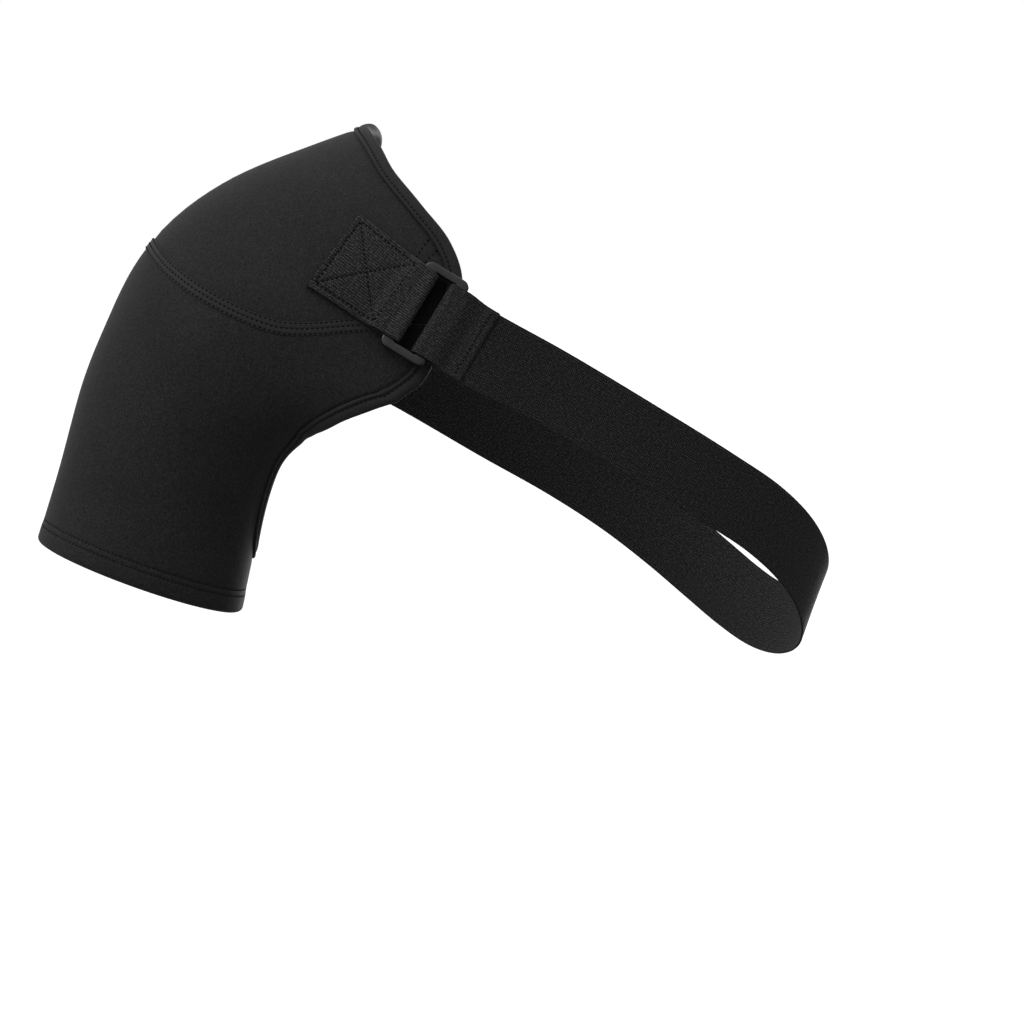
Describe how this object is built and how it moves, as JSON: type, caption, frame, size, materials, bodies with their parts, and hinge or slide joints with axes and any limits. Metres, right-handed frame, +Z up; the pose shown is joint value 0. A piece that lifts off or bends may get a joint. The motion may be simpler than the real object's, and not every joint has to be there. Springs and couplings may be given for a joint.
{
  "type": "shoulder protection pad",
  "caption": "Neoprene shoulder guard with a short arm sleeve, a bound neck edge and a padded yoke, held on one shoulder by an elastic chest strap in a loop buckle.",
  "frame": {"origin": "top of the wearer's shoulder, on the inside face of the yoke", "axes": "+X across the body to the other shoulder, -Y to the wearer's front, +Z up"},
  "size_m": [0.5269, 0.2364, 0.3559],
  "materials": {
    "neoprene": "matte knitted face on foam",
    "tape": "smooth stretch tape",
    "webbing": "woven webbing",
    "elastic": "woven elastic",
    "buckle": "moulded, semi-gloss"
  },
  "bodies": {
    "root": {"sleeve_panel": "neoprene", "yoke_panel": "neoprene", "seam_tape": "tape", "edge_binding": "tape", "strap_tab": "webbing", "buckle": "buckle", "chest_strap": "elastic"}
  },
  "joints": []
}
